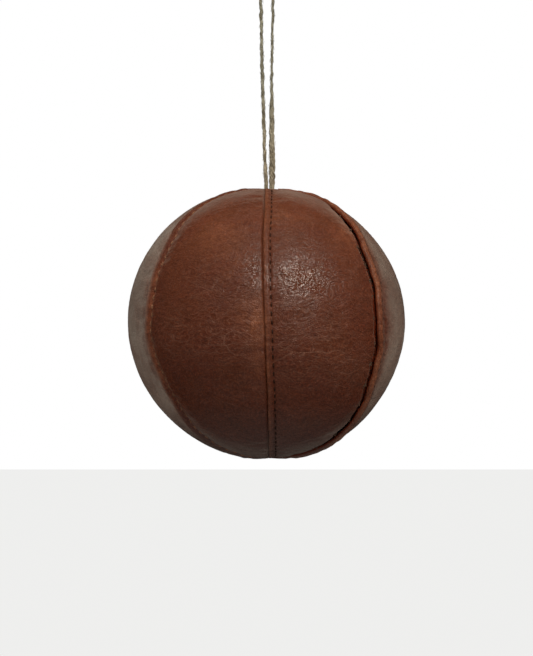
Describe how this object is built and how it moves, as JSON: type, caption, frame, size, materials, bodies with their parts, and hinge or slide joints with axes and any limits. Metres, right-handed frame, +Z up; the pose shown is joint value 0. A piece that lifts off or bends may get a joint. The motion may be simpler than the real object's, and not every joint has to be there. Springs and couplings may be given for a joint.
{
  "type": "small hanging leather ball",
  "caption": "Small round ball of stitched leather gores with a soft filling, hanging by its top on a doubled jute twine.",
  "frame": {"origin": "centre of the ball", "axes": "+Z up along the hanging line; -Y faces the middle seam at the front, +X to its right"},
  "size_m": [0.1, 0.1006, 0.1796],
  "materials": {
    "ball_leather": "satin",
    "patch_leather": "matte",
    "sewing_thread": "satin",
    "closing_thread": "matte",
    "cotton": "matte",
    "fibre": "matte",
    "rolled_cloth": "matte",
    "zinc_steel": "satin",
    "jute": "matte"
  },
  "bodies": {
    "cord": {"hang_cord": "jute"},
    "knot": {"cord_knot": "jute"},
    "washer": {"cord_washer": "zinc_steel"},
    "ball": {"panel_1": "ball_leather", "needle_thread_1": "sewing_thread", "bobbin_thread_1": "sewing_thread", "panel_2": "ball_leather", "needle_thread_2": "sewing_thread", "bobbin_thread_2": "sewing_thread", "panel_3": "ball_leather", "needle_thread_3": "sewing_thread", "bobbin_thread_3": "sewing_thread", "panel_4": "ball_leather", "needle_thread_4": "sewing_thread", "bobbin_thread_4": "sewing_thread", "panel_5": "ball_leather", "needle_thread_5": "sewing_thread", "bobbin_thread_5": "sewing_thread", "panel_6": "ball_leather", "needle_thread_6": "sewing_thread", "bobbin_thread_6": "sewing_thread", "closing_thread": "closing_thread", "top_patch": "patch_leather", "bottom_patch": "patch_leather", "liner_bag": "cotton", "fibre_filling": "fibre", "cloth_core": "rolled_cloth"}
  },
  "joints": [
    {"name": "cord_bend_x", "type": "hinge", "parent": "cord", "child": "knot", "pos_m": [0.0009, 0, 0.0439], "axis": [1, 0, 0], "range_deg": [-10, 10]},
    {"name": "cord_bend_y", "type": "hinge", "parent": "knot", "child": "washer", "pos_m": [0.0009, 0, 0.0439], "axis": [0, 1, 0], "range_deg": [-10, 10]},
    {"name": "ball_turn", "type": "hinge", "parent": "washer", "child": "ball", "pos_m": [0.0009, 0, 0.0439], "axis": [0, 0, 1], "range_deg": [-180, 180]}
  ]
}
